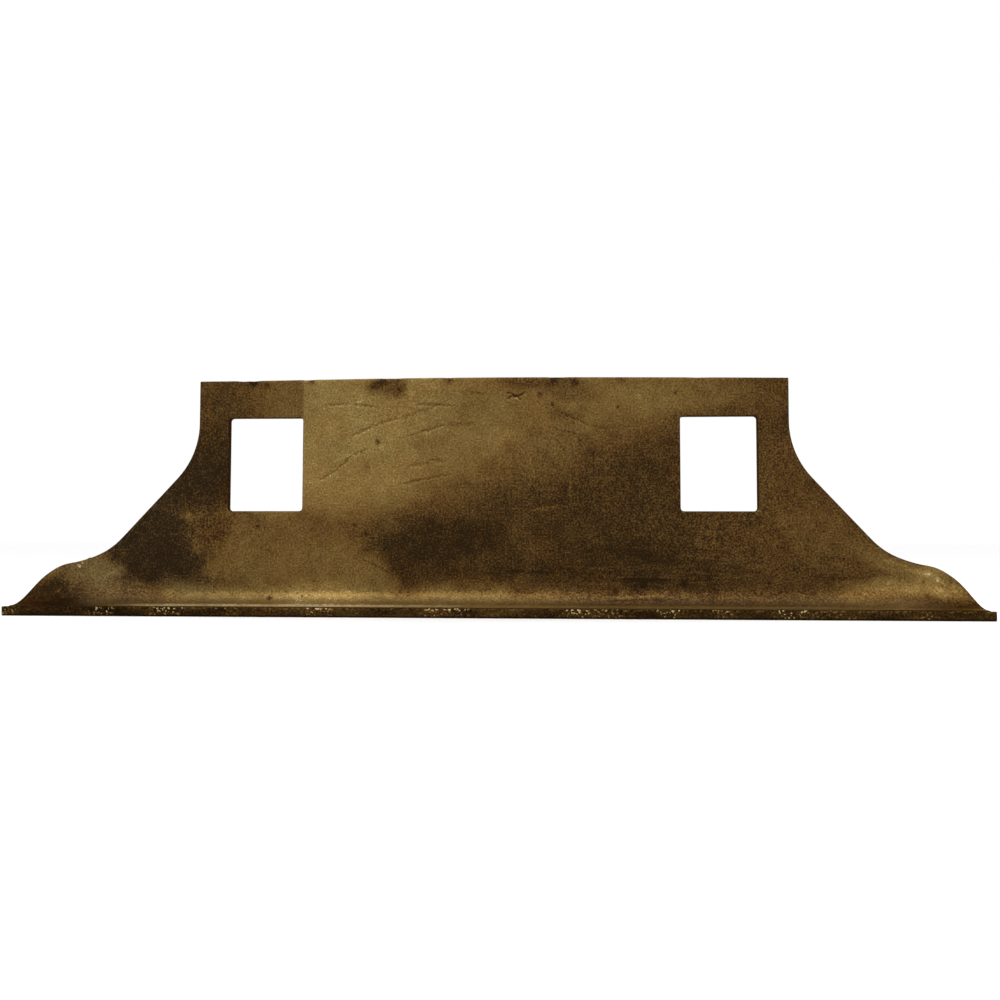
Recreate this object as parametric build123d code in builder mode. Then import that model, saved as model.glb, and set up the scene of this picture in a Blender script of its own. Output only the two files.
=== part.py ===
# Kick plate: one brass plate. An upright wall with ogee ends and two rectangular windows
# sweeps forward through a cove into a flange that runs the full width.
# Millimetres and degrees. +Z is up, and the front of the plate faces -Y.
# The origin is under the middle of the plate, on the plane of the flange's underside.
import os
from math import cos, radians, sin

from build123d import *

# The whole plate
overall_width = 432.0
overall_height = 108.0
overall_depth = 26.0  # from the back of the wall to the front edge of the flange
plate_thickness = 4.2

# The outline of each end, from the top corner down to the foot
top_width = 272.0
neck_radius = 38.0  # concave, under the upright side
slope_angle = 47.0  # of the straight flank, below the horizontal
waist_radius = 37.0  # concave, at the foot of the flank
waist_angle = 6.0  # of the outline where the waist turns into the shoulder
shoulder_radius = 22.5  # convex, down to the foot

# The cove between the wall and the flange opens out towards the ends
cove_radius = 8.5
end_cove_radius = 15.0
flare_start = 150.0  # from the middle
flare_end = 190.0

# The flange's front edge
lip_top_radius = 0.6
lip_bottom_radius = 1.3

# The windows
window_width = 35.0
window_height = 43.5
window_sill = 47.2
window_spacing = 209.0  # between their centres
window_corner_radius = 1.5

# The faces of the section
wall_back = overall_depth / 2
wall_front = wall_back - plate_thickness
flange_front = -overall_depth / 2

# The outline's own closing sizes: the foot of the shoulder stands on the base at half the width
slope_sin = sin(radians(slope_angle))
slope_cos = cos(radians(slope_angle))
waist_sin = sin(radians(waist_angle))
waist_cos = cos(radians(waist_angle))
neck_reach = neck_radius * (1 - slope_sin)
waist_reach = waist_radius * (slope_sin - waist_sin)
shoulder_reach = shoulder_radius * (1 - waist_sin)
flank_reach = (overall_width - top_width) / 2 - neck_reach - waist_reach - shoulder_reach
flank_length = flank_reach / slope_cos
neck_drop = neck_radius * slope_cos
waist_drop = waist_radius * (waist_cos - slope_cos)
shoulder_drop = shoulder_radius * waist_cos
neck_start = neck_drop + flank_length * slope_sin + waist_drop + shoulder_drop

# Stations along the plate with the cove's radius at each
half_width = overall_width / 2
cove_stations = [
    (-half_width, end_cove_radius),
    (-flare_end, end_cove_radius),
    (-flare_start, cove_radius),
    (flare_start, cove_radius),
    (flare_end, end_cove_radius),
    (half_width, end_cove_radius),
]

with BuildPart() as kick_plate:
    # The bent section at each station: wall, cove and flange at one thickness
    for station, inner_radius in cove_stations:
        outer_radius = inner_radius + plate_thickness
        with BuildSketch(Plane.YZ.offset(station)):
            with BuildLine():
                face = Line((wall_front, overall_height), (wall_front, outer_radius))
                cove = JernArc(face @ 1, face % 1, inner_radius, -90)
                tread = Line(cove @ 1, (flange_front + lip_top_radius, plate_thickness))
                upper_round = JernArc(tread @ 1, tread % 1, lip_top_radius, 90)
                nose = Line(upper_round @ 1, (flange_front, lip_bottom_radius))
                lower_round = JernArc(nose @ 1, nose % 1, lip_bottom_radius, 90)
                sole = Line(lower_round @ 1, (wall_back - outer_radius, 0))
                bend = JernArc(sole @ 1, sole % 1, outer_radius, 90)
                Polyline(bend @ 1, (wall_back, overall_height), face @ 0)
            make_face()
    loft(ruled=True)

    # The ogee ends
    with BuildSketch(Plane.XZ):
        with BuildLine():
            side = Line((top_width / 2, overall_height), (top_width / 2, neck_start))
            neck = JernArc(side @ 1, side % 1, neck_radius, 90 - slope_angle)
            flank = Line(neck @ 1, neck @ 1 + (neck % 1) * flank_length)
            waist = JernArc(flank @ 1, flank % 1, waist_radius, slope_angle - waist_angle)
            shoulder = JernArc(waist @ 1, waist % 1, shoulder_radius, waist_angle - 90)
            Polyline(shoulder @ 1, (0, 0), (0, overall_height), side @ 0)
        make_face()
        mirror(about=Plane.YZ)
    extrude(amount=overall_depth, both=True, mode=Mode.INTERSECT)

    # The two windows
    window_height_centre = window_sill + window_height / 2
    with BuildSketch(Plane.XZ):
        with Locations((-window_spacing / 2, window_height_centre), (window_spacing / 2, window_height_centre)):
            RectangleRounded(window_width, window_height, window_corner_radius)
    extrude(amount=overall_depth, both=True, mode=Mode.SUBTRACT)

kick_plate.part.label = "kick_plate"

os.makedirs("parts", exist_ok=True)
export_step(kick_plate.part, "parts/kick_plate.step")
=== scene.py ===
import bpy
import bmesh
import math
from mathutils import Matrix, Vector, noise


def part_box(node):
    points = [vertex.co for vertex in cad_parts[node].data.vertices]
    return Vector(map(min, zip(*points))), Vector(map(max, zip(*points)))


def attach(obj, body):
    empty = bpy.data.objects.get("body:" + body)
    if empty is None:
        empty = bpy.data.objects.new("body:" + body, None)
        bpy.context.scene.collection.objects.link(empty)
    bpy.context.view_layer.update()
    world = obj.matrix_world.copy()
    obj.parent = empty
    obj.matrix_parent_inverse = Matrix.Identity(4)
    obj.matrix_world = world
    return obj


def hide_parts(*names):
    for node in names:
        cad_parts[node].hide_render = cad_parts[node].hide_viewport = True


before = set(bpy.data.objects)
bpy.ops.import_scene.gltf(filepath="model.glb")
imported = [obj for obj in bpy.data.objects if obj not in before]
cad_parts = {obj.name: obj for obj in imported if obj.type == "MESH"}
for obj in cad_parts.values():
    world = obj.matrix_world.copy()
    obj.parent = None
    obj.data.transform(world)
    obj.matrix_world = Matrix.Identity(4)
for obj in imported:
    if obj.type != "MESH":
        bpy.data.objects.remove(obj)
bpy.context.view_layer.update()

noise.seed_set(18)  # for noise_vector, which otherwise differs each run
low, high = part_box("kick_plate")
halfWidth = high.x
plateTop = high.z
wallBack = high.y
lipFront = low.y

# The plate's own sizes, in metres and degrees
plate = {
    "thickness": 0.0042,
    "topWidth": 0.272,
    "neckRadius": 0.038,
    "slopeAngle": 47,
    "waistRadius": 0.037,
    "waistAngle": 6,
    "shoulderRadius": 0.0225,
    "coveRadius": 0.0085,
    "endCoveRadius": 0.015,
    "flareStart": 0.150,
    "flareEnd": 0.190,
    "flareFade": 0.35,  # the share of the wall's height over which the flare bends the rows
    "windowWidth": 0.035,
    "windowHeight": 0.0435,
    "windowSill": 0.0472,
    "windowSpacing": 0.209,
    "windowCorner": 0.0015,
    "lipUnderRound": 0.0012,
    "lipUnderSteps": 4,
    "arrisRound": 0.00045,
    "arrisSteps": 3,
    "arrisAngle": 40,  # an edge that turns by more than this is an arris
    "columns": 432,
    "uprightHalf": 0.128,  # the columns inside this half width stay upright
    "edgeColumns": 0.002,  # the columns this close to the outline keep their spacing
    "topRows": 8,
    "windowRows": 20,
    "lowerRows": 18,
    "coveRows": 12,
    "flangeRows": 8,
}
mm = 0.001
hair = 1e-6  # slack for rounding
touch = 1e-5  # places closer than this are the same
thickness = plate["thickness"]
wallFront = wallBack - thickness
coveTop = thickness + plate["coveRadius"]
coveFoot = wallFront - plate["coveRadius"]
treadTop = thickness + mm  # what stands above this is part of the cove or the wall


def choose(piece, kind, test):
    # selects the edges or faces that pass the test, which is given each one and its middle
    bpy.ops.object.mode_set(mode="EDIT")
    bpy.ops.mesh.select_mode(type=kind)
    bpy.ops.mesh.select_all(action="DESELECT")
    mesh = bmesh.from_edit_mesh(piece.data)
    for element in mesh.edges if kind == "EDGE" else mesh.faces:
        middle = sum((v.co for v in element.verts), Vector()) / len(element.verts)
        if test(element, middle):
            element.select_set(True)
    bmesh.update_edit_mesh(piece.data)


def same(a, b):
    return abs(a - b) < touch


def openRow(axis, place):
    # the free edges along the plate whose coordinate on that axis is place
    def test(edge, middle):
        flat = same(edge.verts[0].co[axis], place) and same(edge.verts[1].co[axis], place)
        return flat and len(edge.link_faces) == 1 and not same(edge.verts[0].co.x, edge.verts[1].co.x)
    return test


def evenly(start, end, count):
    return [start + (end - start) * (i + 1) / count for i in range(count)]


def drawnOut(piece, axis, start, stops):
    # the free edge at start is extruded to each of the stops in turn
    for stop in stops:
        choose(piece, "EDGE", openRow(axis, start))
        move = [0, 0, 0]
        move[axis] = stop - start
        bpy.ops.mesh.extrude_region_move(TRANSFORM_OT_translate={"value": move})
        start = stop


def applyModifier(piece, kind, **settings):
    bpy.context.view_layer.objects.active = piece
    modifier = piece.modifiers.new(kind.title(), kind)
    for name, value in settings.items():
        setattr(modifier, name, value)
    bpy.ops.object.modifier_apply(modifier=modifier.name)


print("plate: wall, cove and flange as one sheet")
sill = plate["windowSill"]
head = sill + plate["windowHeight"]
corner = plate["windowCorner"]

bpy.ops.object.select_all(action="DESELECT")
bpy.ops.mesh.primitive_grid_add(x_subdivisions=plate["columns"], y_subdivisions=plate["topRows"], size=1)
sheet = bpy.context.object
sheet.name = "brassKickPlate"
sheet.scale = (2 * halfWidth, plateTop - head - corner, 1)
sheet.rotation_euler.x = math.pi / 2
sheet.location = (0, wallFront, (plateTop + head + corner) / 2)
bpy.ops.object.transform_apply(location=True, rotation=True, scale=True)

# The rows are closer together at the windows' corners
rows = [head + corner / 2, head, head - corner / 2, head - corner]
rows += evenly(head - corner, sill + corner, plate["windowRows"])
rows += [sill + corner / 2, sill, sill - corner / 2, sill - corner]
rows += evenly(sill - corner, coveTop, plate["lowerRows"])
drawnOut(sheet, 2, head + corner, rows)

choose(sheet, "EDGE", openRow(2, coveTop))
bpy.ops.mesh.spin(steps=plate["coveRows"], angle=math.pi / 2, center=(0, coveFoot, coveTop), axis=(1, 0, 0))

drawnOut(sheet, 1, coveFoot, evenly(coveFoot, lipFront, plate["flangeRows"]))

print("plate: windows")
windowMiddles = [-plate["windowSpacing"] / 2, plate["windowSpacing"] / 2]
windowHalf = plate["windowWidth"] / 2


def inWindow(face, middle):
    across = min(abs(middle.x - x) for x in windowMiddles)
    return across < windowHalf and sill < middle.z < head and middle.y > wallFront - touch


choose(sheet, "FACE", inWindow)
bpy.ops.mesh.delete(type="FACE")
bpy.ops.mesh.select_all(action="SELECT")
bpy.ops.mesh.remove_doubles(threshold=hair)
bpy.ops.mesh.normals_make_consistent(inside=False)
bpy.ops.object.mode_set(mode="OBJECT")
if sheet.data.polygons[0].normal.y > 0:
    sheet.data.flip_normals()

# The windows' corners are drawn in to their small radius
for vertex in sheet.data.vertices:
    for middle in windowMiddles:
        for x in (middle - windowHalf, middle + windowHalf):
            for z in (sill, head):
                centre = Vector((x + math.copysign(corner, middle - x), wallFront,
                                 z + math.copysign(corner, (sill + head) / 2 - z)))
                gap = vertex.co - centre
                outside = gap.x * (centre.x - x) <= 0 and gap.z * (centre.z - z) <= 0
                onRim = abs(gap.x) <= corner + hair and abs(gap.z) <= corner + hair
                if outside and onRim and gap.length > corner:
                    vertex.co = centre + gap.normalized() * corner

print("plate: ogee ends and the flare of the cove")
slope = math.radians(plate["slopeAngle"])
waist = math.radians(plate["waistAngle"])
topHalf = plate["topWidth"] / 2
neckRadius = plate["neckRadius"]
waistRadius = plate["waistRadius"]
shoulderRadius = plate["shoulderRadius"]
waistEnd = Vector((halfWidth - shoulderRadius * (1 - math.sin(waist)), shoulderRadius * math.cos(waist)))
waistCentre = waistEnd + waistRadius * Vector((math.sin(waist), math.cos(waist)))
flankEnd = waistCentre - waistRadius * Vector((math.sin(slope), math.cos(slope)))
neckEnd = topHalf + neckRadius * (1 - math.sin(slope))
flankStart = Vector((neckEnd, flankEnd.y + (flankEnd.x - neckEnd) * math.tan(slope)))
neckStart = flankStart.y + neckRadius * math.cos(slope)
endCoveTop = thickness + plate["endCoveRadius"]

# The outline's runs above the cove, from the shoulder up to the top corner, with their lengths
shoulderTurn = math.pi / 2 - waist - math.asin(endCoveTop / shoulderRadius)
outlineRuns = [
    ("shoulder", shoulderRadius * shoulderTurn),
    ("waist", waistRadius * (slope - waist)),
    ("flank", (flankStart - flankEnd).length),
    ("neck", neckRadius * (math.pi / 2 - slope)),
    ("side", plateTop - neckStart),
]
outlineLength = sum(length for name, length in outlineRuns)


def outlineAt(share):
    # the point of the right-hand outline at that share of the way up
    left = share * outlineLength
    for run, length in outlineRuns:
        if left <= length or run == "side":
            break
        left -= length
    if run == "shoulder":
        turn = math.asin(endCoveTop / shoulderRadius) + left / shoulderRadius
        reach = halfWidth - shoulderRadius + shoulderRadius * math.cos(turn)
        return Vector((reach, shoulderRadius * math.sin(turn)))
    if run == "waist":
        turn = waist + left / waistRadius
        return waistCentre - waistRadius * Vector((math.sin(turn), math.cos(turn)))
    if run == "flank":
        return flankEnd + (flankStart - flankEnd) * left / length
    if run == "neck":
        turn = slope + left / neckRadius
        return Vector((topHalf + neckRadius * (1 - math.sin(turn)), neckStart - neckRadius * math.cos(turn)))
    return Vector((topHalf, neckStart + left))


def footAt(height):
    # how far out the shoulder stands at that height
    return halfWidth - shoulderRadius + math.sqrt(shoulderRadius ** 2 - height ** 2)


def smooth(share):
    share = min(max(share, 0), 1)
    return share * share * (3 - 2 * share)


def coveAt(across):
    # the cove's radius at that distance from the middle
    flare = (across - plate["flareStart"]) / (plate["flareEnd"] - plate["flareStart"])
    return plate["coveRadius"] + (plate["endCoveRadius"] - plate["coveRadius"]) * smooth(flare)


def pulledIn(across, rowLength):
    # how far along its row a column goes, when the row is as long as that
    kept = plate["edgeColumns"]
    fromEnd = halfWidth - across
    if fromEnd <= kept:
        return rowLength - fromEnd
    full = halfWidth - plate["uprightHalf"]
    return (rowLength - kept) * (full - fromEnd) / (full - kept)


def dressed(point):
    # where a point of the straight sheet goes on the plate with its ogee ends
    across = abs(point.x)
    inner = plate["uprightHalf"]
    if across <= inner:
        return point
    side = math.copysign(1, point.x)
    if point.y > wallFront - hair and point.z > coveTop - hair:
        rise = (point.z - coveTop) / (plateTop - coveTop)
        start = Vector((inner, point.z))
        run = outlineAt(rise) - start
        spot = start + run.normalized() * pulledIn(across, run.length)
        straight = coveTop + (endCoveTop - coveTop) * (spot.x - inner) / (outlineAt(0).x - inner)
        lift = thickness + coveAt(spot.x) - straight
        return Vector((side * spot.x, wallFront, spot.y + lift * max(0, 1 - rise / plate["flareFade"])))
    if point.y > coveFoot - hair:
        turn = math.atan2(coveTop - point.z, point.y - coveFoot)
        end = footAt(thickness + plate["endCoveRadius"] * (1 - math.sin(turn)))
        x = inner + pulledIn(across, end - inner)
        forward = coveAt(x) * (1 - math.cos(turn))
        up = coveAt(x) * (1 - math.sin(turn))
        return Vector((side * x, wallFront - forward, thickness + up))
    x = inner + pulledIn(across, footAt(thickness) - inner)
    tread = wallFront - coveAt(x)
    forward = (coveFoot - point.y) / (coveFoot - lipFront)
    return Vector((side * x, tread + (lipFront - tread) * forward, point.z))


for vertex in sheet.data.vertices:
    vertex.co = dressed(vertex.co)

print("plate: waves, dents and the worn top edge")
# Nicks in millimetres: where along the top edge, half the width and the depth
topNicks = [(-113, 7, 0.30), (-84, 4, 0.30), (-45, 6, 0.22), (-19, 3, 0.2), (31, 7, 0.15), (96, 6, 0.15)]
# Dents in millimetres on the front: across, up, radius and depth
dents = [(203, 15.5, 2.6, 0.45), (206, 12, 2.2, 0.4), (200, 17.5, 2.0, 0.3), (197, 13, 2.4, 0.25),
         (-192, 21.5, 1.8, 0.4), (-200, 10, 2.0, 0.3), (-52, 78.5, 1.8, 0.25), (13, 100.5, 2.2, 0.3),
         (-60, 38, 3.5, 0.2), (101, 32, 1.8, 0.25), (88, 14, 3.0, 0.2), (-101, 8, 1.8, 0.3)]
worn = {
    "waveSize": 0.085,
    "waveDepth": 0.0004,
    "rippleSize": 0.018,
    "rippleDepth": 0.00007,
    "rippleShift": Vector((7, 0, 3)),  # so that the ripples don't follow the waves
    "waveRise": 0.03,  # the height above the cove over which the waves set in
    "nickGrain": 0.0021,
    "crownAt": -0.015,
    "crownRise": 0.00105,
    "crownReach": 0.017,
    "knockLength": 0.0035,
    "knockHeight": 0.002,
    "knockDepth": 0.00022,
    "knockReach": 0.0006,  # from the lip's front
    "creaseBack": -0.0075,
    "creaseFront": -0.0121,
    "creaseDepth": 0.0004,
}


def crowned(x):
    # how far the top edge stands above a straight line: it rises gently to a crown left of the middle
    leftward = (worn["crownAt"] - x) / (topHalf + worn["crownAt"])
    rightward = (x - worn["crownAt"]) / (topHalf - worn["crownAt"])
    share = smooth(1 - leftward) if leftward > 0 else max(0, 1 - rightward ** 2)
    return worn["crownRise"] * share


def pushedBack(x, z):
    # how far the waves, ripples and dents push the front back at that spot
    spot = Vector((x, 0, z))
    wave = noise.noise(spot / worn["waveSize"]) * worn["waveDepth"]
    ripple = noise.noise(spot / worn["rippleSize"] + worn["rippleShift"]) * worn["rippleDepth"]
    push = (wave + ripple) * smooth((z - coveTop) / worn["waveRise"])
    for dentX, dentZ, radius, depth in dents:
        away = math.hypot(x / mm - dentX, z / mm - dentZ) / radius
        if away < 1:
            push += depth * mm * (1 - away * away) ** 2
    return push


for vertex in sheet.data.vertices:
    place = vertex.co.copy()
    if place.z > treadTop:
        vertex.co.y += pushedBack(place.x, place.z)
    if same(place.z, plateTop):
        for x, halfLength, depth in topNicks:
            away = abs(place.x / mm - x) / halfLength
            rough = 0.7 + 0.6 * noise.noise(place / worn["nickGrain"])
            vertex.co.z -= depth * mm * rough * smooth(1.4 - 1.4 * away)
    vertex.co.z += crowned(place.x) * max(0, 1 - (plateTop - place.z) / worn["crownReach"])

print("plate: thickness and rounded arrises")
applyModifier(sheet, "SOLIDIFY", thickness=thickness, offset=-1, use_even_offset=True)


def lipUnderside(edge, middle):
    along = not same(edge.verts[0].co.x, edge.verts[1].co.x)
    return along and same(middle.y, lipFront) and same(middle.z, 0)


choose(sheet, "EDGE", lipUnderside)
bpy.ops.mesh.bevel(offset=plate["lipUnderRound"], segments=plate["lipUnderSteps"], affect="EDGES")
bpy.ops.object.mode_set(mode="OBJECT")
arrisAngle = math.radians(plate["arrisAngle"])
applyModifier(sheet, "BEVEL", width=plate["arrisRound"], segments=plate["arrisSteps"],
              limit_method="ANGLE", angle_limit=arrisAngle, use_clamp_overlap=False)
bpy.ops.object.shade_smooth_by_angle(angle=arrisAngle)
print("faces", len(sheet.data.polygons))


def skinDepth(point):
    # 0 on the front skin, 1 on the back skin
    if point.z > treadTop:
        point = point - Vector((0, pushedBack(point.x, point.z), 0))
    radius = coveAt(abs(point.x))
    axisY = wallFront - radius
    axisZ = thickness + radius
    if point.z > axisZ:
        return (point.y - wallFront) / thickness
    if point.y < axisY:
        return (thickness - point.z) / thickness
    return (math.hypot(point.y - axisY, point.z - axisZ) - radius) / thickness


# How deep each point lies in the metal, for the patina, taken before the lip is knocked about
depths = [skinDepth(vertex.co) for vertex in sheet.data.vertices]

# The lip's arrises are knocked about, and a shallow crease runs behind the upper one
for vertex in sheet.data.vertices:
    onTop = vertex.co.z > 0.9 * thickness
    if onTop and worn["creaseFront"] < vertex.co.y < worn["creaseBack"]:
        vertex.co.z -= worn["creaseDepth"]
    if vertex.co.y < lipFront + worn["knockReach"]:
        spot = Vector((vertex.co.x / worn["knockLength"], vertex.co.z / worn["knockHeight"], 0.5))
        vertex.co.y += worn["knockDepth"] * (0.6 + noise.noise(spot))

print("plate: tone of the patina")
# Tone 0 is the darkest crust and 1 clean brass; some tones below are painted highlights and painted
# shade, each marked where it is laid. From here on lengths are millimetres on the front, x across and z up.
# Soft stains, and at the right end a painted highlight: x, z, half length, half height, turn, core, tone;
# each is laid over the ones before it
fieldStainsAndSheen = [
    (-22, 33, 42, 13, 6, 0.35, 0.04),
    (-50, 32, 12, 6, 20, 0.3, 0.10),
    (68, 27, 34, 10, 0, 0.2, 0.04),
    (17, 36, 8, 22, 0, 0.3, 0.28),
    (50, 52, 40, 16, 5, 0.3, 0.17),
    (104, 40, 24, 12, 0, 0.3, 0.25),
    (-48, 105, 16, 7, 0, 0.4, 0.42),
    (-116, 90, 22, 6, 0, 0.2, 0.26),
    (22, 106, 27, 5, 0, 0.35, 0.34),
    (72, 98, 34, 9, 0, 0.3, 0.70),
    (106, 102, 20, 7, 0, 0.2, 0.58),
    (36, 102, 14, 5, 0, 0.3, 0.46),
    (0, 80, 15, 8, 20, 0.2, 0.80),
    (37, 91, 12, 7, 0, 0.2, 0.50),
    (-28, 81, 14, 5, 20, 0.2, 0.68),
    (-8, 92, 10, 4, 10, 0.2, 0.64),
    (-6, 72, 14, 8, 20, 0.2, 0.72),
    (-56, 82, 16, 12, 0, 0.2, 0.99),
    (114, 90, 13, 5, 0, 0.2, 0.22),
    (132, 88, 7, 12, 0, 0.3, 0.22),
    # these three light the right end's flare: a painted highlight
    (150, 36, 26, 20, -42, 0.4, 0.42),
    (180, 25, 24, 8, -22, 0.3, 0.66),
    (196, 19, 12, 5, -30, 0.3, 0.86),
    (-113, 44, 10, 5, 0, 0.2, 0.46),
    (-129, 42, 12, 14, 0, 0.5, 0.28),
    (-140, 50, 9, 6, 0, 0.3, 0.16),
    (-76, 40, 10, 5, 10, 0.2, 0.50),
    (10, 16, 12, 6, -20, 0.2, 0.10),
    (68, 15, 20, 4, 0, 0.2, 0.10),
    (-124, 14, 14, 5, 10, 0.2, 0.42),
]
# The left shoulder is darkened, and its lobe is painted light and grey as a painted highlight, above a dark
# foot
leftLobeStainsAndSheen = [
    (-134, 54, 9, 14, 20, 0.3, 0.17),
    (-183, 19, 19, 12, -20, 0.3, 0.66),
    (-165, 11, 26, 6, -4, 0.3, 0.52),
    (-200, 17, 12, 4, 40, 0.3, 0.40),
    (-205, 8, 22, 7, 22, 0.5, 0.0),
]
# The right lobe gets a painted highlight
rightLobeHighlight = [
    (188, 16, 44, 7, 9, 0.3, 0.84),
    (200, 16.5, 17, 7, -30, 0.4, 0.92),
]
# The tone of the cove's foot, a painted highlight whose strength varies along it: each is laid over the ones
# before, and sets in from the first x to the second
footTones = [
    (-108, -84, 1.04),
    (-76, -48, 0.72),
    (-10, 60, 0.36),
    (138, 165, 0.56),
    (178, 212, 0.16),
    (-136, -168, 0.40),
    (-180, -196, 0.02),
]
# The broad fields: a light one at the upper left, a dark core below it and a brown right end.
# An edge is x and z of a point on a line, its turn, and the width over which it fades. The edge of
# the crust has no width, because it is bitten instead.
fields = {
    "coreEdge": (-22, 53.5, 19.5, 36),
    "core": 0.18,
    "wedgeEdge": (-58, 29, -50, 9),
    "wedge": 0.61,
    "lightSpan": (-52, 15),
    "lightLeft": 0.92,
    "lightRight": 0.68,
    "lightFoot": (40, 54),
    "lightLow": 0.58,
    "rightSpan": (88, 134),
    "right": 0.33,
    "footLeft": 0.74,  # the first tone of the cove's foot with its painted highlight, under footTones
    "footSpan": (30, 62),  # over which the painted highlight at the foot of the cove gets lower
    "footTop": (18, 14),
    "footBottom": 8,
    "crust": 0.06,
    "crustEdge": (-136, 29, 108),
    "crustFade": (-8, 7),
    "crustEnd": (-196, -180),
    "tread": (4.9, 4.3),  # below this height a point is on the flange
    "treadLeft": 0.1,
    "treadHighlight": 1.4,
    "treadSpan": (-192, -150),
    "treadDulled": 0.62,  # of that towards the right
    "dulledSpan": (-60, 40),
    "grime": (-7.6, -5),  # from the crease, dark with painted shade over grime, back to the painted highlight at the foot of the cove
}


def faded(value, start, end):
    return smooth((value - start) / (end - start))


def mixed(share, first, second):
    return first + (second - first) * share


def turned(spot, x, z, turn):
    # where the spot lies in a frame at (x, z), turned that many degrees
    along = math.cos(math.radians(turn))
    up = math.sin(math.radians(turn))
    away = Vector((spot.x - x, spot.z - z))
    return Vector((away.x * along + away.y * up, away.y * along - away.x * up))


def ellipseShare(spot, x, z, halfLength, halfHeight, turn, core):
    # 1 in the middle of an ellipse on the front, fading to 0 at its rim
    away = turned(spot, x, z, turn)
    return faded(math.hypot(away.x / halfLength, away.y / halfHeight), 1, core)


def beyond(spot, x, z, turn, width):
    # 1 on the upper or left side of a line through (x, z), 0 on the other, fading over that width
    return faded(turned(spot, x, z, turn).y, -width / 2, width / 2)


def laidOver(spot, tone, patches):
    # the tone with those patches laid over it in turn: stains, and in some lists painted highlights
    for x, z, halfLength, halfHeight, turn, core, patchTone in patches:
        tone = mixed(ellipseShare(spot, x, z, halfLength, halfHeight, turn, core), tone, patchTone)
    return tone


def fieldTone(place, strayed):
    # the broad fields of the front, and the stains and painted highlight over them
    low = mixed(beyond(strayed, *fields["wedgeEdge"]), fields["wedge"], fields["core"])
    light = mixed(faded(place.x, *fields["lightSpan"]), fields["lightLeft"], fields["lightRight"])
    light = mixed(faded(strayed.z, *fields["lightFoot"]), fields["lightLow"], light)
    tone = mixed(beyond(strayed, *fields["coreEdge"]), low, light)
    tone = mixed(faded(place.x, *fields["rightSpan"]), tone, fields["right"])
    return laidOver(strayed, tone, fieldStainsAndSheen)


def coveTone(place, strayed, tone):
    # a painted highlight along the foot of the cove, brightest on the left, and the right lobe's painted
    # highlight
    foot = fields["footLeft"]
    for start, end, footTone in footTones:
        foot = mixed(faded(place.x, start, end), foot, footTone)
    top = mixed(faded(place.x, *fields["footSpan"]), *fields["footTop"])
    tone = mixed(faded(strayed.z, top, fields["footBottom"]), tone, foot)
    return laidOver(strayed, tone, rightLobeHighlight)


def crustShare(place):
    # the dark olive crust on the left shoulder, whose edge is bitten
    bite = noise.noise(place / 7) * 6 + noise.noise(place / 2.4) * 5
    edge = turned(place, *fields["crustEdge"]).y
    foot = faded(place.z + place.x * 0.12, -11, -3)
    return faded(edge + bite, *fields["crustFade"]) * foot * faded(place.x, *fields["crustEnd"])


def treadTone(place, tone):
    # the flange gets a painted highlight along the foot of the cove and painted shade over grime in the
    # crease
    footShine = mixed(faded(place.x, *fields["treadSpan"]), fields["treadLeft"], fields["treadHighlight"])
    footShine *= mixed(faded(place.x, *fields["dulledSpan"]), 1, fields["treadDulled"])
    tread = mixed(faded(place.y, *fields["grime"]), 0, footShine)
    return mixed(faded(place.z, *fields["tread"]), tone, tread)


# What the points carry: the tone; where the metal is grey, on the crust and shoulder, and where the left
# lobe's painted highlight is greyed;
# the dull crease; where the bright dots of the lip cluster; and how bare the metal is, least at the foot of
# the cove
bare = {"all": 0.96, "footLoss": 0.55}
# the left lobe's grey goes with its painted highlight
greyLobe = (-180, 17, 30, 14, -18, 0.4)
greyShoulder = (-133, 60, 10, 16, 20, 0.4)
painted = {"skinDepth": depths, "tone": [], "grey": [], "crease": [], "cluster": [], "metal": []}
for vertex, depth in zip(sheet.data.vertices, depths):
    place = vertex.co / mm
    crease = faded(place.y, -6.5, -7.6) * faded(place.z, *fields["tread"])
    foot = faded(place.z, 9.5, 6.5) * faded(place.y, -12.9, -12.4)
    foot *= faded(place.x, -196, -165) * faded(place.x, 206, 180) * (1 - crease)
    painted["crease"].append(crease)
    painted["metal"].append(bare["all"] - bare["footLoss"] * foot * faded(depth, 0.5, 0.1))
    painted["cluster"].append(faded(noise.noise(place / 15), -0.1, 0.2))

    # the fields and stains go by x and z alone, with outlines that stray by a few millimetres
    flat = Vector((place.x, 0, place.z))
    wander = noise.noise_vector(flat / 24) * 6 + noise.noise_vector(flat / 9) * 3
    strayed = flat + Vector((wander.x * 1.3, 0, wander.z * 0.8))
    crust = crustShare(flat)
    lobe = ellipseShare(strayed, *greyLobe)
    shoulder = ellipseShare(strayed, *greyShoulder)
    painted["grey"].append(max(crust * 0.8, lobe, shoulder * 0.8))
    tone = mixed(crust, fieldTone(flat, strayed), fields["crust"])
    tone = laidOver(strayed, tone, leftLobeStainsAndSheen)
    tone = coveTone(flat, strayed, tone)
    painted["tone"].append(treadTone(place, tone))
for name, values in painted.items():
    sheet.data.attributes.new(name, "FLOAT", "POINT").data.foreach_set("value", values)

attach(sheet, "root")
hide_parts("kick_plate")


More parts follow.
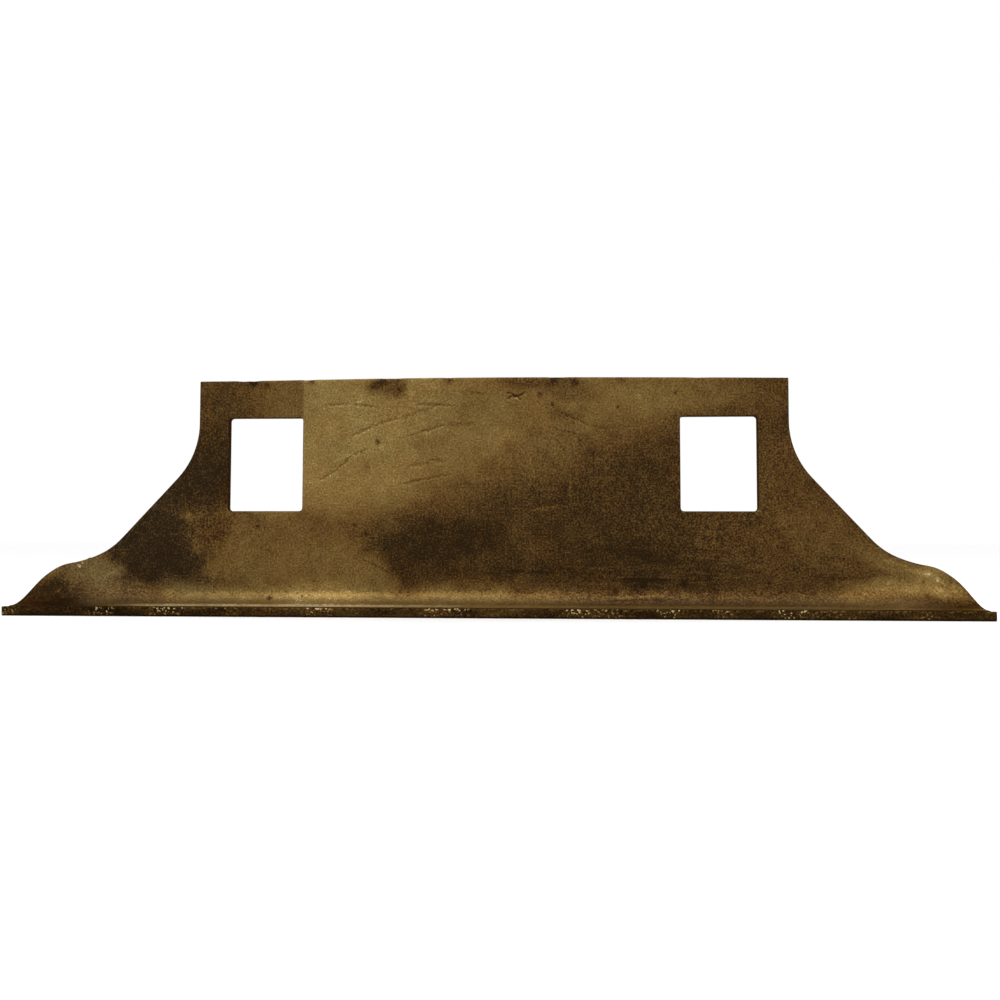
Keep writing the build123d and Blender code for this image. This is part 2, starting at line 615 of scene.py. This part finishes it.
class Wire:
    # a socket of a node tree; arithmetic on values adds Math nodes
    def __init__(self, socket):
        self.socket = socket

    def node(self, kind, settings=None, inputs=None, output=0):
        tree = self.socket.id_data
        made = tree.nodes.new("ShaderNode" + kind)
        for name, value in (settings or {}).items():
            if name == "stops":
                setStops(made.color_ramp, value)
            else:
                setattr(made, name, value)
        for key, value in (inputs or {}).items():
            if isinstance(value, Wire):
                tree.links.new(value.socket, made.inputs[key])
            else:
                made.inputs[key].default_value = value
        return Wire(made.outputs[output])

    def maths(self, operation, *values):
        return self.node("Math", {"operation": operation}, dict(enumerate(values)))

    def __add__(self, other):
        return self.maths("ADD", self, other)

    def __radd__(self, other):
        return self.maths("ADD", other, self)

    def __sub__(self, other):
        return self.maths("SUBTRACT", self, other)

    def __rsub__(self, other):
        return self.maths("SUBTRACT", other, self)

    def __mul__(self, other):
        return self.maths("MULTIPLY", self, other)

    def __rmul__(self, other):
        return self.maths("MULTIPLY", other, self)


def setStops(ramp, stops):
    while len(ramp.elements) < len(stops):
        ramp.elements.new(1)
    for element, (position, colour) in zip(ramp.elements, stops):
        element.position = position
        element.color = (*colour, 1)


def fade(value, start, end):
    # 0 at start, 1 at end, smooth between
    return value.node("MapRange", {"interpolation_type": "SMOOTHSTEP"},
                      {"Value": value, "From Min": start, "From Max": end})


def blended(factor, first, second):
    return factor.node("Mix", {"data_type": "FLOAT"}, {0: factor, 2: first, 3: second})


def tinted(factor, colour, tint):
    return factor.node("Mix", {"data_type": "RGBA", "blend_type": "MULTIPLY"},
                       {0: factor, 6: colour, 7: tint}, 2)


def cloud(place, size, detail=2, stretch=(1, 1, 1), start=(0, 0, 0)):
    # noise about 0, whose lumps are about that many millimetres across
    spot = place.node("Mapping", {"vector_type": "TEXTURE"},
                      {"Vector": place, "Location": start, "Scale": tuple(size * s for s in stretch)})
    return spot.node("TexNoise", {}, {"Vector": spot, "Scale": 1, "Detail": detail}) - 0.5


def layer(place, settings, start=(0, 0, 0)):
    # a cloud at its own strength
    size, detail, strength = settings
    return cloud(place, size, detail, start=start) * strength


def area(place, x, z, halfLength, halfHeight, core):
    # 1 in the middle of an ellipse on the front, fading to 0 at its rim
    spot = place.node("Mapping", {"vector_type": "TEXTURE"},
                      {"Vector": place, "Location": (x, 0, z), "Scale": (halfLength, 1, halfHeight)})
    return fade(spot.node("VectorMath", {"operation": "LENGTH"}, {0: spot}, 1), 1, core)


def carried(place, name):
    # a value that the mesh carries at its points
    return place.node("Attribute", {"attribute_name": name}, {}, 2)


def distance(place, x, z):
    # how far the place is from that spot on the front
    return place.node("VectorMath", {"operation": "DISTANCE"}, {0: place, 1: (x, 0, z)}, 1)


patina = {
    "toneColours": [
        (0.00, (0.0212, 0.0123, 0.0048)),
        (0.25, (0.0578, 0.0296, 0.0091)),
        (0.50, (0.1022, 0.0561, 0.0160)),
        (0.75, (0.1490, 0.0930, 0.0275)),
        (1.00, (0.2140, 0.1413, 0.0430)),
        (1.25, (0.3050, 0.2200, 0.0840)),
        # the last, near white, serves the painted glints of the arris and the flange's painted highlight
        (1.60, (0.8800, 0.7400, 0.4600)),
    ],
    "fullTone": 1.6,  # the last of those tones
    "brownTint": (1.03, 0.95, 0.90, 1),
    "greyTint": (0.90, 1.0, 1.25, 1),
    "edgeTint": (0.50, 0.40, 0.25, 1),  # of the reflections seen at a low angle
    "backTone": 0.36,
    "sideTone": 0.06,
    # the tones of the painted glints on the upper arris, and of the bright specks on the lip
    "arrisGlintTone": 1.5,
    "lipDotTone": 1.35,
    # of these, the size of the lumps, the detail and how much they change the tone
    "broadMottle": (24, 3, 0.22),
    "mottle": (8, 3, 0.34),
    "grain": (2.6, 2, 0.30),
    "fineGrain": (0.8, 2, 1.35),
    "backCloud": (34, 4, 1.1),
    "pitScale": 0.42,
    "pitTone": 0.32,
    "dragArea": (72, 22, 70, 14, 0.4),
    "dragTone": 0.7,
    "shake": 2.4,
    "duskRoughness": 0.56,  # of the darkest tones
    "brightRoughness": 0.36,
    "scratchStrength": 0.85,
    "bankHighlightStrength": -0.5,  # of the painted highlight on the bank below a deep scratch, against the scratch's own change
    "bankHighlightDrop": 0.9,
    "deepChange": -0.24,  # a scratch darker than this is deep
    "lightFieldFoot": 50,  # only deep scratches above this get a painted highlight on their bank
}
# The darker strip round the left window, which ends sharply in line with the window's side
strip = {
    "end": (-86.4, -87.4),
    "foot": (46, 51),
    "innerSpan": (-116, -96),
    "innerTones": (0.34, 0.60),
    "outerEdge": (-124, -110),
    "outerRise": (64, 104),
    "outerTones": (0.0, 0.32),
    "outerLow": (60, 44),
    "outerLowTone": 0.26,
}
# The lip: y and z of its parts, the tones of the rubbed places, and of its painted highlight and painted
# shade
lipWear = {
    "front": (-12.2, -12.8),
    "rubbedSpan": (-126, -90),
    "rubbedTones": (0.12, 0.38),
    "dulledSpan": (4, 30),
    "dulled": 0.14,
    "arrisDepth": 12.8,
    "arrisHeight": 4.0,
    "arrisReach": (0.15, 0.75),
    "sparseSpan": (-172, -140),
    "rimFoot": (1.1, 1.4),
    "rimTop": (2.1, 1.7),
    "rimHighlightTone": 0.5,
    # the painted shade along the lip's underside
    "sole": (0.95, 0.5),
    "soleTone": 0.02,
}

# Scratches, gouges and drag marks: from x, z to x, z, width, change of tone
scratches = [
    (-64, 82, -54, 87, 1.0, -0.38),
    (-54, 87, -42, 90.5, 0.9, -0.34),
    (-42, 90.5, -22, 97, 0.9, -0.22),
    (-79, 61.5, -70, 67, 0.9, -0.36),
    (-70, 67, -64, 73, 1.0, -0.42),
    (-64, 73, -56, 76.5, 0.8, -0.28),
    (-76, 96.5, -64, 97.2, 0.9, -0.30),
    (-64, 97.2, -53, 95.5, 1.0, -0.26),
    (-41, 59.5, -31, 62, 1.0, -0.36),
    (-31, 62, -18, 64.5, 0.8, -0.26),
    (-38, 82, -20, 87.5, 0.9, -0.34),
    (-38, 68, -28, 69.5, 1.4, -0.30),
    (-27, 71, -20, 70, 1.2, -0.34),
    (-34, 97, -16, 96, 1.1, -0.30),
    (-20, 87, -6, 88, 1.6, -0.20),
    (-12, 103, -2, 101, 0.9, -0.24),
    (8, 99.2, 17, 102, 0.9, -0.50),
    (8, 102, 15, 99, 0.8, -0.50),
    (32, 93, 46, 86.5, 0.8, -0.28),
    (46, 86.5, 56, 85, 0.7, -0.20),
    (26, 86, 46, 81.5, 0.7, -0.22),
    (27, 83.5, 39, 80.5, 0.6, -0.18),
    (20.5, 62, 17.5, 76, 0.9, 0.14),
    (18, 47.5, 37, 49.5, 1.0, 0.26),
    (37, 49, 37, 62, 0.9, 0.26),
    (22, 57, 32, 57.5, 0.9, 0.16),
    (-8, 61, 3, 63, 1.4, 0.14),
    (123, 58, 131, 76, 0.9, 0.18),
    (126, 56, 129, 66, 0.8, 0.16),
    (6, 20, 30, 19, 1.0, -0.22),
    (60, 16.5, 82, 16, 1.1, -0.24),
    (66, 13, 79, 12.6, 1.0, -0.20),
    (92, 16, 101, 16.4, 1.0, -0.22),
    (146, 18, 166, 17, 1.2, -0.16),
    (136, 27, 160, 26, 0.9, -0.10),
    (56, 8, 82, 9, 0.8, 0.24),
    (52, 6.6, 84, 7.4, 0.7, -0.30),
    (-60, 26, -46, 19, 0.8, -0.24),
    (-84, 60.3, -77, 62, 0.9, 0.22),
    (-72, 70, -63, 74.6, 0.8, 0.2),
    (-74, 95.5, -58, 98.4, 0.9, 0.18),
    (176, 25.5, 188, 22, 1.2, 0.2),
    (186, 21, 199, 18.5, 1.4, 0.2),
    (-180, 19, -166, 17, 0.9, 0.16),
    (-176, 24, -160, 12, 0.8, 0.16),
    (-184, 14, -170, 22, 0.8, 0.14),
]

# Spots and blobs: x, z, radius, change of tone
spots = [
    (-52, 79.2, 1.7, -0.6), (-50, 77, 1.8, 0.2), (-107.5, 40, 1.4, -0.4), (-101, 7.3, 1.6, -0.6),
    (-86, 8.2, 1.2, -0.5), (-62, 41, 1.8, -0.3), (-57, 37, 1.8, -0.3), (29, 96.6, 1.4, -0.5),
    (23, 101, 2.0, -0.4), (59, 95, 1.3, -0.5), (85, 101.3, 1.3, -0.5), (31, 80, 1.0, -0.5),
    (41, 79.8, 0.9, -0.4), (41.5, 77.8, 0.8, -0.4), (68, 100, 1.6, 0.14), (88, 14, 2.6, -0.3),
    (70, 14, 2.4, -0.3), (57, 10.5, 2.4, -0.3), (101.5, 32.4, 1.6, 0.35), (101.5, 31.8, 0.8, -0.6),
    (117, 28, 1.5, 0.2), (47, 74, 3.4, -0.2), (20, 84, 4.5, -0.14), (-192, 21.6, 1.3, 0.7),
    # from (203, 15.5) to (194, 15.5) the spots are painted highlights and painted shade on the right lobe's
    # dents
    (-190.5, 22.8, 0.9, 0.7), (-200, 10, 1.5, 0.5), (203, 15.5, 1.6, 0.35), (205.5, 12.4, 1.2, -0.2),
    (200.5, 17, 1.6, 0.4), (198, 13, 1.4, -0.25), (196, 19.5, 2, 0.3), (202, 13.6, 1.0, -0.25),
    (207, 14.2, 1.3, 0.3), (194, 15.5, 1.5, -0.2), (-110.5, 107.3, 3, -0.5), (-83, 107.6, 2.6, -0.5),
    (-54, 105.5, 2.6, -0.3), (-50, 107.6, 4, -0.4), (-19, 107.8, 3, -0.4), (39, 106.6, 3, -0.3),
    (30, 107.6, 4, -0.3), (-42, 103.5, 1.8, -0.25), (-120, 102, 2, -0.2), (60, 107.8, 3, -0.3),
    (-40, 105, 2.6, -0.24), (-104, 106, 2.0, -0.3),
    (-70.5, 99, 1.0, -0.3), (-128, 35, 2.2, -0.2), (-93, 44, 1.5, -0.25), (12, 96, 1.6, -0.2),
    (70, 41.5, 0.9, -0.3), (121.8, 47.6, 0.8, 0.6), (-47, 92, 1.0, -0.3), (-57, 68, 2.6, -0.16),
]


def marked(flat):
    # the changes of tone by all scratches and spots; a scratch is a thin ellipse about its two ends,
    # and the deep ones of the light field get a painted highlight along their lower bank
    total = 0
    drop = patina["bankHighlightDrop"]
    bankHighlights = [(x1, z1 - drop, x2, z2 - drop, width, patina["bankHighlightStrength"] * change)
             for x1, z1, x2, z2, width, change in scratches
             if change < patina["deepChange"] and z1 > patina["lightFieldFoot"]]
    for x1, z1, x2, z2, width, change in scratches + bankHighlights:
        there = distance(flat, x1, z1) + distance(flat, x2, z2)
        length = math.hypot(x2 - x1, z2 - z1)
        rim = math.hypot(length, 2 * width)
        total = fade(there, rim, length) * (change * patina["scratchStrength"]) + total
    for x, z, radius, change in spots:
        total = fade(distance(flat, x, z), radius, radius * 0.2) * change + total
    return total


def graded(value, start, end, first, last):
    # from first to last as the value goes from start to end
    return blended(fade(value, start, end), first, last)


def agedBrass():
    # sizes and places are in millimetres, and tones as above
    brass = bpy.data.materials.new("agedBrass")
    brass.use_nodes = True
    shader = brass.node_tree.nodes["Principled BSDF"]
    metres = Wire(brass.node_tree.nodes.new("ShaderNodeTexCoord").outputs["Object"])
    place = metres.node("VectorMath", {"operation": "SCALE"}, {0: metres, 3: 1 / mm})
    depth = carried(place, "skinDepth")
    x, y, z = [place.node("SeparateXYZ", {}, {0: place}, axis) for axis in range(3)]
    flat = place.node("VectorMath", {"operation": "MULTIPLY"}, {0: place, 1: (1, 0, 1)})
    back = fade(depth, 0.6, 0.9)
    side = fade(depth, 0.015, 0.05) * fade(depth, 0.97, 0.90)
    lip = fade(y, *lipWear["front"])

    tone = carried(place, "tone")
    outer = graded(z, *strip["outerRise"], *strip["outerTones"])
    outer = blended(fade(z, *strip["outerLow"]), outer, strip["outerLowTone"])
    inner = graded(x, *strip["innerSpan"], *strip["innerTones"])
    stripTone = blended(fade(x, *strip["outerEdge"]), outer, inner)
    tone = blended(fade(x, *strip["end"]) * fade(z, *strip["foot"]), tone, stripTone)

    # scratches and spots, with slightly shaky outlines
    shake = place.node("TexNoise", {}, {"Vector": flat, "Scale": 0.5, "Detail": 2}, 1)
    shake = shake.node("VectorMath", {"operation": "SUBTRACT"}, {0: shake, 1: (0.5, 0.5, 0.5)})
    reach = patina["shake"]
    shake = shake.node("VectorMath", {"operation": "MULTIPLY"}, {0: shake, 1: (reach, 0, reach)})
    shaky = shake.node("VectorMath", {"operation": "ADD"}, {0: flat, 1: shake})
    marks = marked(shaky)

    # mottling, pitted grain and horizontal drag in the dark field
    mottle = layer(place, patina["broadMottle"]) + layer(place, patina["mottle"])
    grain = layer(place, patina["grain"]) + layer(place, patina["fineGrain"])
    cells = place.node("TexVoronoi", {}, {"Vector": place, "Scale": patina["pitScale"], "Randomness": 1})
    pits = fade(cells, 0.26, 0.08) * fade(cloud(place, 14, 2, start=(40, 9, 3)), -0.06, 0.14)
    drag = cloud(place, 3, 3, (7, 1, 0.5)) * area(flat, *patina["dragArea"]) * patina["dragTone"]
    front = tone + mottle + grain * graded(tone, 0.7, 0.2, 1, 1.3) + drag + marks
    front = front - pits * patina["pitTone"]

    # the back and the edges of the metal are dull, the lip is grimy, and its upper arris gets painted glints
    # below
    backTone = layer(place, patina["backCloud"], (11, 5, 60)) + patina["backTone"] + mottle + grain
    whole = blended(back, front, backTone)
    whole = blended(side, whole, grain * 0.8 + patina["sideTone"])
    rubbedLip = graded(x, *lipWear["rubbedSpan"], *lipWear["rubbedTones"])
    rubbedLip = rubbedLip - graded(x, *lipWear["dulledSpan"], 0, lipWear["dulled"])
    grime = cloud(place, 7, 3, (2.2, 1, 0.8)) + grain * 1.3 + rubbedLip
    whole = blended(lip, whole, grime)

    # painted glints: bright dots close together along the upper arris; bright specks scattered on the lip;
    # then a painted highlight along the lower arris
    cluster = carried(place, "cluster")
    dots = cloud(place, 1.0, 1, (1.15, 1, 1), start=(3, 0, 0))
    above = z - lipWear["arrisHeight"]
    ahead = y + lipWear["arrisDepth"]
    arris = 1 - fade(above * above + ahead * ahead, *lipWear["arrisReach"])
    bright = graded(x, *lipWear["sparseSpan"], 0.3, 1) * graded(cluster, 0, 1, 0.35, 1)
    whole = blended(arris * fade(dots, 0.02, 0.1) * bright, whole, patina["arrisGlintTone"])
    whole = blended(lip * fade(dots, 0.08, 0.15) * cluster, whole, patina["lipDotTone"])
    # a lighter line along the lower arris: a painted highlight
    rim = fade(z, *lipWear["rimFoot"]) * fade(z, *lipWear["rimTop"]) * lip
    whole = blended(rim * cluster * 0.5, whole, lipWear["rimHighlightTone"])
    # painted shade along the lip's rounded underside
    whole = blended(fade(z, *lipWear["sole"]) * lip, whole, lipWear["soleTone"])

    stops = [(step / patina["fullTone"], shade) for step, shade in patina["toneColours"]]
    colour = whole.node("ValToRGB", {"stops": stops}, {0: whole * (1 / patina["fullTone"])})
    # browner drifts, and grey on the left shoulder's crust and over the left lobe's painted highlight
    warmth = fade(cloud(place, 18, 3, start=(70, 0, 20)), -0.12, 0.14)
    colour = tinted(warmth * 0.8, colour, patina["brownTint"])
    colour = tinted(carried(place, "grey"), colour, patina["greyTint"])
    brass.node_tree.links.new(colour.socket, shader.inputs["Base Color"])

    height = grain * 0.04 - pits * 0.12 + mottle * 0.06
    bump = height.node("Bump", {}, {"Strength": 1.0, "Distance": mm, "Height": height})
    brass.node_tree.links.new(bump.socket, shader.inputs["Normal"])
    roughness = graded(whole, 0.1, 1.0, patina["duskRoughness"], patina["brightRoughness"])
    roughness = roughness + grain * 0.15 + carried(place, "crease") * 0.4
    brass.node_tree.links.new(roughness.socket, shader.inputs["Roughness"])
    brass.node_tree.links.new(carried(place, "metal").socket, shader.inputs["Metallic"])
    shader.inputs["Specular Tint"].default_value = patina["edgeTint"]
    return brass


print("plate: aged brass")
sheet.data.materials.clear()
sheet.data.materials.append(agedBrass())

print("floor, lights and camera")
studio = {
    "floorSize": 60,
    "cameraPlace": (0.02451, -0.40465, 0.03284),
    "cameraTurn": (92.694, -0.117, 2.721),
    "lens": 32.54,
    "softboxPlace": (0, -0.45, 0.8),
    "softboxSize": (1.0, 0.7),
    "softboxPower": 4,
    "softboxAim": (0, 0, 0.05),
    "floorColour": (0.98, 0.98, 0.98, 1),
    "floorRoughness": 0.9,
}

bpy.ops.mesh.primitive_plane_add(size=studio["floorSize"], location=(0, 0, 0))
floor = bpy.context.object
floor.name = "studioFloor"
pale = bpy.data.materials.new("paleFloor")
pale.use_nodes = True
paleShader = pale.node_tree.nodes["Principled BSDF"]
paleShader.inputs["Base Color"].default_value = studio["floorColour"]
paleShader.inputs["Roughness"].default_value = studio["floorRoughness"]
floor.data.materials.append(pale)

world = bpy.data.worlds.new("studioWorld")
bpy.context.scene.world = world
world.use_nodes = True
world.node_tree.nodes["Background"].inputs["Color"].default_value = (1, 1, 1, 1)
world.node_tree.nodes["Background"].inputs["Strength"].default_value = 1.0

bpy.ops.object.light_add(type="AREA", location=studio["softboxPlace"])
softbox = bpy.context.object
softbox.name = "softbox"
softbox.data.shape = "RECTANGLE"
softbox.data.size = studio["softboxSize"][0]
softbox.data.size_y = studio["softboxSize"][1]
softbox.data.energy = studio["softboxPower"]
aim = Vector(studio["softboxAim"]) - softbox.location
softbox.rotation_euler = aim.to_track_quat("-Z", "Y").to_euler()

bpy.ops.object.camera_add(location=studio["cameraPlace"])
camera = bpy.context.object
camera.rotation_euler = [math.radians(a) for a in studio["cameraTurn"]]
camera.data.lens = studio["lens"]
camera.data.sensor_width = 36
camera.data.clip_start = 0.01
bpy.context.scene.camera = camera
bpy.context.scene.view_settings.view_transform = "Standard"
